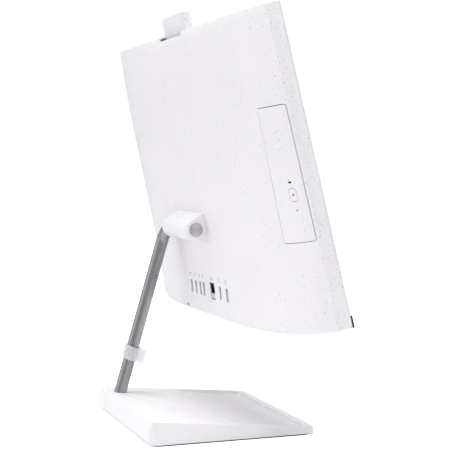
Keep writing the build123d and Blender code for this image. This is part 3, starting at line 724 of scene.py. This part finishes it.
def row_tree():
    """A straight row of copies of one object: contacts, studs and fins."""
    tree, outer = new_tree(
        "Row of copies",
        [
            ("Count", "NodeSocketInt", 4),
            ("First", "NodeSocketVector", (0, 0, 0)),
            ("Step", "NodeSocketVector", (0.001, 0, 0)),
            ("Copy", "NodeSocketObject", None),
            ("Material", "NodeSocketMaterial", None),
        ],
    )
    line = add(
        tree,
        "GeometryNodeMeshLine",
        {"mode": "OFFSET"},
        {"Count": outer["Count"], "Start Location": outer["First"], "Offset": outer["Step"]},
    )
    shape = add(tree, "GeometryNodeObjectInfo", links={"Object": outer["Copy"]})
    copies = add(
        tree,
        "GeometryNodeInstanceOnPoints",
        links={"Points": line.outputs[0], "Instance": shape.outputs["Geometry"]},
    )
    close_tree(tree, copies.outputs[0], outer)
    return tree


def sieve_tree():
    """A thin plate with a honeycomb of holes."""
    tree, outer = new_tree(
        "Honeycomb plate",
        [
            ("Width", "NodeSocketFloat", 0.1),
            ("Height", "NodeSocketFloat", 0.01),
            ("Pitch", "NodeSocketFloat", 0.002),
            ("Hole share", "NodeSocketFloat", 0.66),
            ("Thickness", "NodeSocketFloat", 0.0005),
            ("Place", "NodeSocketVector", (0, 0, 0)),
            ("Turn", "NodeSocketVector", (0, 0, 0)),
            ("Material", "NodeSocketMaterial", None),
        ],
    )
    counts = []
    for side in ("Width", "Height"):
        share = add(
            tree, "ShaderNodeMath", {"operation": "DIVIDE"}, {0: outer[side], 1: outer["Pitch"]}
        )
        counts.append(share.outputs[0])
    grid = add(
        tree,
        "GeometryNodeMeshGrid",
        links={
            "Size X": outer["Width"],
            "Size Y": outer["Height"],
            "Vertices X": counts[0],
            "Vertices Y": counts[1],
        },
    )
    triangles = add(
        tree, "GeometryNodeTriangulate", {"quad_method": "FIXED"}, {"Mesh": grid.outputs["Mesh"]}
    )
    comb = add(
        tree, "GeometryNodeDualMesh", {"Keep Boundaries": True}, {"Mesh": triangles.outputs[0]}
    )
    cells = add(
        tree,
        "GeometryNodeExtrudeMesh",
        {"mode": "FACES", "Individual": True, "Offset Scale": 0.0},
        {"Mesh": comb.outputs[0]},
    )
    shrunk = add(
        tree,
        "GeometryNodeScaleElements",
        {"domain": "FACE"},
        {
            "Geometry": cells.outputs["Mesh"],
            "Selection": cells.outputs["Top"],
            "Scale": outer["Hole share"],
        },
    )
    pierced = add(
        tree,
        "GeometryNodeDeleteGeometry",
        {"domain": "FACE", "mode": "ALL"},
        {"Geometry": shrunk.outputs[0], "Selection": cells.outputs["Top"]},
    )
    merged = add(
        tree, "GeometryNodeMergeByDistance", {"Distance": WELD}, {"Geometry": pierced.outputs[0]}
    )
    raised = add(
        tree,
        "GeometryNodeExtrudeMesh",
        {"mode": "FACES", "Individual": False},
        {"Mesh": merged.outputs[0], "Offset Scale": outer["Thickness"]},
    )
    underside = add(tree, "GeometryNodeFlipFaces", links={"Mesh": merged.outputs[0]})
    closed = add(tree, "GeometryNodeJoinGeometry")
    tree.links.new(raised.outputs["Mesh"], closed.inputs[0])
    tree.links.new(underside.outputs[0], closed.inputs[0])
    welded = add(
        tree, "GeometryNodeMergeByDistance", {"Distance": WELD}, {"Geometry": closed.outputs[0]}
    )
    placed = add(
        tree,
        "GeometryNodeTransform",
        links={
            "Geometry": welded.outputs[0],
            "Translation": outer["Place"],
            "Rotation": outer["Turn"],
        },
    )
    close_tree(tree, placed.outputs[0], outer)
    return tree


def row_of(name, build, placing, count, first, step, material):
    """Mesh of a straight row of copies, put in place by a matrix."""
    turned = placing.to_3x3().to_4x4()
    pattern = bpy.data.objects.new(name + "_pattern", drawn(build, turned))
    bpy.context.scene.collection.objects.link(pattern)
    tree = bpy.data.node_groups.get("Row of copies") or row_tree()
    values = {
        "Count": count,
        "First": placing @ Vector(first),
        "Step": placing.to_3x3() @ Vector(step),
        "Copy": pattern,
        "Material": material,
    }
    mesh = grow(tree, name, values)
    bpy.data.objects.remove(pattern)
    return mesh


def joined(meshes):
    """Several meshes as one."""
    shape = bmesh.new()
    for mesh in meshes:
        shape.from_mesh(mesh)
    result = bpy.data.meshes.new("joined")
    shape.to_mesh(result)
    shape.free()
    return result


# ---- operators: one for each piece or group of like pieces ----
class COMPUTER_OT_cover(bpy.types.Operator):
    """Make the domed back cover and the hinge housing with rounded edges"""

    bl_idname = "computer.cover"
    bl_label = "Back cover"

    def execute(self, context):
        sizes = context.scene.computer_sizes
        rounded_copy("back_cover", "cover_shell", sizes.edge_round)
        rounded_copy("hinge_housing", "hinge_cover", sizes.edge_round * 1.4, 3)
        paint(["lock_slot_plate"])
        return {"FINISHED"}


class COMPUTER_OT_front(bpy.types.Operator):
    """Make the front frame, the screen and the pierced grille below it"""

    bl_idname = "computer.front"
    bl_label = "Front and screen"

    def execute(self, context):
        sizes = context.scene.computer_sizes
        rounded_copy("front_bezel", "front_frame", sizes.edge_round, flat=0)
        rounded_copy("screen_glass", "screen_front", 0.25 * MM)
        paint(["display_panel", "speaker_grille"])
        low, high = span("speaker_grille")
        plate = grow(
            sieve_tree(),
            "grille_mesh",
            {
                "Width": high.x - low.x - 0.6 * MM,
                "Height": high.z - low.z - 0.5 * MM,
                "Pitch": sizes.hole_pitch,
                "Hole share": sizes.hole_share,
                "Thickness": 0.4 * MM,
                "Place": DISPLAY @ Vector((0, low.y - 0.05 * MM, (low.z + high.z) / 2)),
                "Turn": (math.pi / 2 - TILT, 0, 0),
                "Material": MATERIALS["panel_black"],
            },
        )
        publish(plate, "grille_mesh", "display", "panel_black")
        return {"FINISHED"}


class COMPUTER_OT_camera(bpy.types.Operator):
    """Make the rising camera with its stepped lens"""

    bl_idname = "computer.camera"
    bl_label = "Rising camera"

    def execute(self, context):
        sizes = context.scene.computer_sizes
        rounded_copy("camera_housing", "camera_case", sizes.edge_round, flat=0)
        paint(["camera_board", "camera_rails"])
        low, high = span("camera_lens")
        radius = (high.x - low.x) / 2
        depth = high.y - low.y
        profile = [
            (0, 0),
            (radius * 0.2, -depth * 0.06),
            (radius * 0.42, 0),
            (radius * 0.46, depth * 0.3),
            (radius * 0.6, depth * 0.22),
            (radius * 0.64, 0),
            (radius * 0.94, 0),
            (radius, depth * 0.08),
            (radius, depth),
            (0, depth),
        ]
        middle = Vector(((low.x + high.x) / 2, low.y, (low.z + high.z) / 2))
        placing = on_display(*middle) @ Matrix.Rotation(-math.pi / 2, 4, "X")
        lens = drawn(lambda shape: lathe(shape, profile, 48), placing)
        smooth(lens, 30)
        publish(lens, "camera_eye", "camera", "lens_glass", replaced=("camera_lens",))
        return {"FINISHED"}


class COMPUTER_OT_disc_drive(bpy.types.Operator):
    """Make the disc drive's front, tray, button and light"""

    bl_idname = "computer.disc_drive"
    bl_label = "Disc drive"

    def execute(self, context):
        sizes = context.scene.computer_sizes
        rounded_copy("disc_tray_front", "drive_front", sizes.edge_round * 0.7)
        rounded_copy("eject_button", "drive_button", sizes.edge_round * 0.7)
        rounded_copy("disc_tray", "drive_tray", 0.3 * MM, flat=0)
        rounded_copy("disc_spindle", "drive_spindle", 0.3 * MM)
        paint(["drive_light", "optical_drive_case"])
        self.button_dot()
        return {"FINISHED"}

    def button_dot(self):
        """A small dished dot in the middle of the eject button."""
        low, high = span("eject_button")
        radius = 0.85 * MM
        profile = [
            (0, 0.02 * MM),
            (radius * 0.8, 0.03 * MM),
            (radius, 0.09 * MM),
            (radius * 1.15, 0.02 * MM),
            (radius * 1.15, -0.3 * MM),
            (0, -0.3 * MM),
        ]
        start = DISPLAY @ Vector((low.x - 0.02, (low.y + high.y) / 2, (low.z + high.z) / 2))
        hit, point, normal, _ = bpy.data.objects["drive_button"].ray_cast(start, ACROSS)
        if not hit:
            raise RuntimeError("no eject button beside the drive")
        placing = Matrix.Translation(point) @ normal.to_track_quat("Z", "Y").to_matrix().to_4x4()
        dot = drawn(lambda shape: lathe(shape, profile, 24), placing)
        smooth(dot, 40)
        publish(dot, "button_dot", "eject_button", "black_plastic")


class COMPUTER_OT_connectors(bpy.types.Operator):
    """Make the sockets with their contacts, the network flap and the marks above them"""

    bl_idname = "computer.connectors"
    bl_label = "Connectors"

    def execute(self, context):
        sizes = context.scene.computer_sizes
        paint(["hdmi_port", "usb_ports", "network_port", "power_inlet"])
        paint(["connector_board", "connector_posts"])
        rounded_copy("network_flap", "network_door", 0.2 * MM)
        gold = brushed_metal("Gold-plated contacts", linear("#D9B45A"), 0.25, (0, 1, 0))
        low, high = span("network_port")
        count = sizes.network_pins
        width = sizes.pin_width
        pitch = 1.02 * MM
        middle_x = (low.x + high.x) / 2
        thick, long = 0.4 * MM, 9 * MM
        contact = lambda shape: block(
            shape, (-width / 2, 0, -thick / 2), (width / 2, long, thick / 2)
        )
        pins = row_of(
            "network_contacts",
            contact,
            on_display(middle_x, high.y - 11.5 * MM, high.z - 1.9 * MM),
            count,
            (-(count - 1) * pitch / 2, 0, 0),
            (pitch, 0, 0),
            gold,
        )
        publish(pins, "network_contacts", "display", "brass_fittings", gold)
        self.slot_contacts(gold, width)
        self.marks()
        return {"FINISHED"}

    def slot_contacts(self, gold, width):
        """Contacts on the tongues of the upright sockets."""
        meshes = []
        for node, count, pitch in (("usb_ports", 4, 2.6 * MM), ("hdmi_port", 9, 1.1 * MM)):
            low, high = span(node)
            for x in socket_middles(node):
                thick, long = 0.2 * MM, 7 * MM
                contact = lambda shape: block(shape, (0, 0, -width / 2), (thick, long, width / 2))
                side = -1.75 * MM if node == "usb_ports" else -0.95 * MM
                meshes.append(
                    row_of(
                        "slot_contacts",
                        contact,
                        on_display(x + side, high.y - 9.5 * MM, (low.z + high.z) / 2),
                        count,
                        (0, 0, -(count - 1) * pitch / 2),
                        (0, 0, pitch),
                        gold,
                    )
                )
        publish(joined(meshes), "slot_contacts", "display", "brass_fittings", gold)

    def marks(self):
        """Small plain marks above the sockets: a bar, forks, and a square, pressed onto the cover."""
        ink = moulded_plastic("Grey pad-printing ink", linear("#4C4B50"), 0.6)
        places = [(x, "fork") for x in socket_middles("usb_ports")]
        places += [(x, "bar") for x in socket_middles("hdmi_port")]
        low, high = span("network_port")
        places.append(((low.x + high.x) / 2, "square"))
        meshes = []
        for x, kind in places:
            seat = cover_depth(x, high.z + 5.2 * MM)
            meshes.append(drawn(lambda shape: mark(shape, kind), seat))
        publish(joined(meshes), "port_marks", "display", "black_plastic", ink)


def socket_middles(node):
    """Middle of each separate socket of a node, along the display."""
    xs = sorted(v.co.x for v in nodes[node].data.vertices)
    groups = [[xs[0]]]
    for x in xs[1:]:
        if x - groups[-1][-1] > 4 * MM:
            groups.append([])
        groups[-1].append(x)
    return [(g[0] + g[-1]) / 2 for g in groups]


def cover_depth(x, u):
    """Matrix of a place on the back cover's outer face, local Y out of the face."""
    start = DISPLAY @ Vector((x, 0.3, u))
    hit, point, normal, _ = bpy.data.objects["cover_shell"].ray_cast(start, -BACK)
    if not hit:
        raise RuntimeError("no back cover behind this place")
    up = (UP - normal * UP.dot(normal)).normalized()
    across = normal.cross(up) * -1
    turned = Matrix((across, normal, up)).transposed().to_4x4()
    return Matrix.Translation(point) @ turned


# The bars of each mark, as lower left and upper right corners before scaling.
MARKS = {
    "bar": [((-1.6, -0.5), (1.6, 0.5))],
    "square": [
        ((-1.5, -0.3), (1.5, 0.3)),
        ((-1.9, -1.9), (-0.9, -0.9)),
        ((0.9, -1.9), (1.9, -0.9)),
        ((-0.5, 0.9), (0.5, 1.9)),
    ],
    "fork": [
        ((-0.2, -1.9), (0.2, 1.9)),
        ((-1.3, 0.2), (-0.9, 1.2)),
        ((0.9, -0.4), (1.3, 0.6)),
        ((-0.6, -2.3), (0.6, -1.5)),
    ],
}


def mark(shape, kind):
    """One generic connector mark, 0.05 mm proud."""
    scale = 1.25 * MM
    sunk, proud = -0.02 * MM, 0.05 * MM
    for (x0, z0), (x1, z1) in MARKS[kind]:
        block(shape, (x0 * scale, sunk, z0 * scale), (x1 * scale, proud, z1 * scale))


class COMPUTER_OT_stand(bpy.types.Operator):
    """Make the bent tube, the turned hinge cap and the base"""

    bl_idname = "computer.stand"
    bl_label = "Stand and base"

    def execute(self, context):
        sizes = context.scene.computer_sizes
        finish = context.scene.computer_finish
        rounded_copy("base_shell", "base_cover", sizes.base_round, 3)
        paint(["stand_tube", "hinge_shaft", "tube_foot"])
        paint(["base_plate", "base_weight", "rubber_pad", "base_screws"])
        low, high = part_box("hinge_end_cap")
        radius = (high.z - low.z) / 2
        thick = high.x - low.x
        profile = [(0, thick)]
        rings, depth, face = 7, 0.045 * MM, radius * 0.93
        for i in range(1, rings):
            profile.append((face * i / rings, thick - (depth if i % 2 else 0)))
        profile += [
            (face, thick),
            (radius * 0.985, thick * 0.86),
            (radius, thick * 0.7),
            (radius, 0),
            (0, 0),
        ]
        outer_face = Matrix.Translation((high.x, HINGE.y, HINGE.z))
        placing = outer_face @ Matrix.Rotation(-math.pi / 2, 4, "Y")
        cap = drawn(lambda shape: lathe(shape, profile, 96), placing)
        smooth(cap, 25)
        steel = (*finish.cap_steel, 1.0)
        turned = turned_metal("Turned steel cap", steel, HINGE, sizes.groove_pitch)
        publish(cap, "hinge_cap", "display", "tube_metal", turned, replaced=("hinge_end_cap",))
        return {"FINISHED"}


class COMPUTER_OT_cable_clip(bpy.types.Operator):
    """Make the frosted clip that holds the cables to the tube"""

    bl_idname = "computer.cable_clip"
    bl_label = "Cable clip"

    def execute(self, context):
        rounded_copy("cable_clip", "tube_clip", 0.4 * MM, 3)
        return {"FINISHED"}


class COMPUTER_OT_controls(bpy.types.Operator):
    """Make the power button with its on-off sign"""

    bl_idname = "computer.controls"
    bl_label = "Power button"

    def execute(self, context):
        rounded_copy("power_button", "power_key", 0.3 * MM)
        paint(["power_switch"])
        low, high = span("power_button")
        ink = moulded_plastic("Pale printed sign", linear("#8A888C"), 0.5)
        placing = on_display((low.x + high.x) / 2, (low.y + high.y) / 2, low.z - 0.03 * MM)
        sign = drawn(on_off_sign, placing)
        publish(sign, "power_sign", "power_button", "black_plastic", ink)
        return {"FINISHED"}


def on_off_sign(shape):
    """The on-off sign: an open ring with a short bar in its gap."""
    steps, start, sweep = 28, 125, 290
    inner, outer, proud = 1.35 * MM, 1.75 * MM, 0.06 * MM
    rings = []
    for i in range(steps + 1):
        turn = math.radians(start + sweep * i / steps)
        direction = Vector((math.cos(turn), math.sin(turn), 0))
        rings.append(
            [
                shape.verts.new(direction * radius + Vector((0, 0, z)))
                for radius, z in ((inner, 0), (outer, 0), (outer, proud), (inner, proud))
            ]
        )
    for a, b in zip(rings, rings[1:]):
        for i in range(4):
            j = (i + 1) % 4
            shape.faces.new((a[i], a[j], b[j], b[i]))
    shape.faces.new(rings[0])
    shape.faces.new(rings[-1])
    block(shape, (-0.2 * MM, 0.5 * MM, 0), (0.2 * MM, 2.0 * MM, proud))


class COMPUTER_OT_inside(bpy.types.Operator):
    """Finish the chassis, mainboard, cooling, speakers and hinge inside the cover"""

    bl_idname = "computer.inside"
    bl_label = "Inside"

    def execute(self, context):
        shown = [n for n, o in nodes.items() if not o.hide_render]
        paint([n for n in shown if nodes[n].data.materials[0] not in MATERIALS.values()])
        return {"FINISHED"}


# The camera stands behind the computer's near side, a little above its middle.
CAMERA_PLACE = (-1.36036, 0.45435, 0.30389)
CAMERA_AZIMUTH = math.radians(250.35)
CAMERA_ELEVATION = math.radians(2.84)

# Each soft box: its name, its place, its width and the setting that holds its power.
SOFT_BOXES = (
    ("Key light", (0.9, 2.6, 1.5), 2.6, "key_power"),
    ("Top light", (-0.3, 0.4, 3.0), 1.8, "top_power"),
    ("Front light", (-0.9, -2.6, 1.3), 1.6, "fill_power"),
    ("Side light", (-2.4, 0.3, 1.7), 1.4, "side_power"),
)
LIT_MIDDLE = Vector((0, 0, 0.25))
BRIGHT_WAY = Vector((0.3, 0.85, 0.42)).normalized()


class COMPUTER_OT_studio(bpy.types.Operator):
    """Make the floor, the soft lights and the camera"""

    bl_idname = "computer.studio"
    bl_label = "Studio"

    def execute(self, context):
        studio = context.scene.computer_studio
        self.floor(context, studio)
        self.camera(context, studio)
        for name, where, width, setting in SOFT_BOXES:
            self.light(context, name, where, width, getattr(studio, setting))
        self.world(context, studio)
        context.scene.view_settings.view_transform = "Standard"
        return {"FINISHED"}

    def floor(self, context, studio):
        """A seamless sweep: floor that curves up into the backdrop."""
        shape = bmesh.new()
        half, rise, steps = 6.0, 2.5, 16
        floor_z = CAD_BOX[0].z
        rows = []
        for side in (-1, 1):
            row = [(side * (half + rise), floor_z + 2 * rise)]
            for i in range(steps + 1):
                turn = math.pi / 2 * i / steps
                across, up = rise * math.cos(turn), rise * (1 - math.sin(turn))
                row.append((side * (half + across), floor_z + up))
            rows.append(row)
        line = rows[1] + list(reversed(rows[0]))
        left = [shape.verts.new((x, -half, z)) for x, z in line]
        right = [shape.verts.new((x, half, z)) for x, z in line]
        for i in range(len(line) - 1):
            shape.faces.new((left[i], right[i], right[i + 1], left[i + 1]))
        bmesh.ops.recalc_face_normals(shape, faces=shape.faces)
        mesh = bpy.data.meshes.new("studio_floor")
        shape.to_mesh(mesh)
        shape.free()
        mesh.shade_smooth()
        floor = bpy.data.objects.new("studio_floor", mesh)
        context.scene.collection.objects.link(floor)
        paper, tree, surface, coords = new_material(
            "Matt paper backdrop", {"Roughness": 0.85, "Emission Color": linear("#FFFFFF")}
        )
        seen = add(tree, "ShaderNodeLightPath").outputs["Is Camera Ray"]
        glow = add(
            tree, "ShaderNodeMath", {"operation": "MULTIPLY", 1: studio.floor_glow}, {0: seen}
        )
        tree.links.new(glow.outputs[0], surface.inputs["Emission Strength"])
        tint = clouded(tree, coords, (*studio.floor, 1.0), 0.985, 400)
        tree.links.new(tint, surface.inputs["Base Color"])
        mesh.materials.append(paper)

    def world(self, context, studio):
        """Even surroundings, paler behind the computer than in front, so that metal shows its form."""
        world = bpy.data.worlds.new("Studio")
        context.scene.world = world
        world.use_nodes = True
        tree = world.node_tree
        tree.nodes.clear()
        aim = add(tree, "ShaderNodeTexCoord").outputs["Generated"]
        towards = add(
            tree,
            "ShaderNodeVectorMath",
            {"operation": "DOT_PRODUCT", 1: BRIGHT_WAY},
            {0: aim},
        )
        strength = add(
            tree,
            "ShaderNodeMapRange",
            {
                "clamp": True,
                "From Min": -0.8,
                "From Max": 0.9,
                "To Min": studio.dim_side,
                "To Max": studio.bright_side,
            },
            {"Value": towards.outputs["Value"]},
        ).outputs["Result"]
        background = add(tree, "ShaderNodeBackground", links={"Strength": strength})
        add(tree, "ShaderNodeOutputWorld", links={"Surface": background.outputs[0]})

    def camera(self, context, studio):
        """A long lens behind the computer's near side, a little above its middle."""
        lens = bpy.data.cameras.new("Camera")
        lens.lens = studio.focal
        lens.sensor_width = 36.0
        lens.clip_start = 0.05
        lens.clip_end = 60.0
        camera = bpy.data.objects.new("Camera", lens)
        context.scene.collection.objects.link(camera)
        level = math.cos(CAMERA_ELEVATION)
        back = Vector(
            (
                math.sin(CAMERA_AZIMUTH) * level,
                -math.cos(CAMERA_AZIMUTH) * level,
                math.sin(CAMERA_ELEVATION),
            )
        )
        camera.location = CAMERA_PLACE
        camera.rotation_mode = "QUATERNION"
        camera.rotation_quaternion = (-back).to_track_quat("-Z", "Y")
        context.scene.camera = camera

    def light(self, context, name, where, width, watts):
        """A square soft box that faces the object."""
        lamp = bpy.data.lights.new(name, "AREA")
        lamp.shape = "SQUARE"
        lamp.size = width
        lamp.energy = watts
        holder = bpy.data.objects.new(name, lamp)
        context.scene.collection.objects.link(holder)
        holder.location = where
        aim = Vector(where) - LIT_MIDDLE
        holder.rotation_mode = "QUATERNION"
        holder.rotation_quaternion = aim.to_track_quat("Z", "Y")


OPERATORS = (
    COMPUTER_OT_studio,
    COMPUTER_OT_cover,
    COMPUTER_OT_front,
    COMPUTER_OT_camera,
    COMPUTER_OT_disc_drive,
    COMPUTER_OT_connectors,
    COMPUTER_OT_stand,
    COMPUTER_OT_cable_clip,
    COMPUTER_OT_controls,
    COMPUTER_OT_inside,
)


class COMPUTER_PT_panel(bpy.types.Panel):
    """Sizes, colours and steps of the all-in-one computer"""

    bl_label = "All-in-one computer"
    bl_idname = "COMPUTER_PT_panel"
    bl_space_type = "VIEW_3D"
    bl_region_type = "UI"
    bl_category = "Computer"

    def draw(self, context):
        layout = self.layout
        for group in ("computer_finish", "computer_sizes", "computer_studio"):
            box = layout.box()
            settings = getattr(context.scene, group)
            for key in settings.bl_rna.properties.keys():
                if key not in ("rna_type", "name"):
                    box.prop(settings, key)
        for step in OPERATORS:
            layout.operator(step.bl_idname)


GROUPS = (
    ("computer_finish", ComputerFinish),
    ("computer_sizes", ComputerSizes),
    ("computer_studio", ComputerStudio),
)


def register():
    for name, group in GROUPS:
        bpy.utils.register_class(group)
        setattr(bpy.types.Scene, name, PointerProperty(type=group))
    for step in OPERATORS:
        bpy.utils.register_class(step)
    bpy.utils.register_class(COMPUTER_PT_panel)


def unregister():
    bpy.utils.unregister_class(COMPUTER_PT_panel)
    for step in reversed(OPERATORS):
        bpy.utils.unregister_class(step)
    for name, group in reversed(GROUPS):
        delattr(bpy.types.Scene, name)
        bpy.utils.unregister_class(group)


def main():
    register()
    MATERIALS.update(make_materials(bpy.context.scene.computer_finish))
    for step in OPERATORS:
        family, action = step.bl_idname.split(".")
        getattr(getattr(bpy.ops, family), action)()


if __name__ == "__main__":
    main()
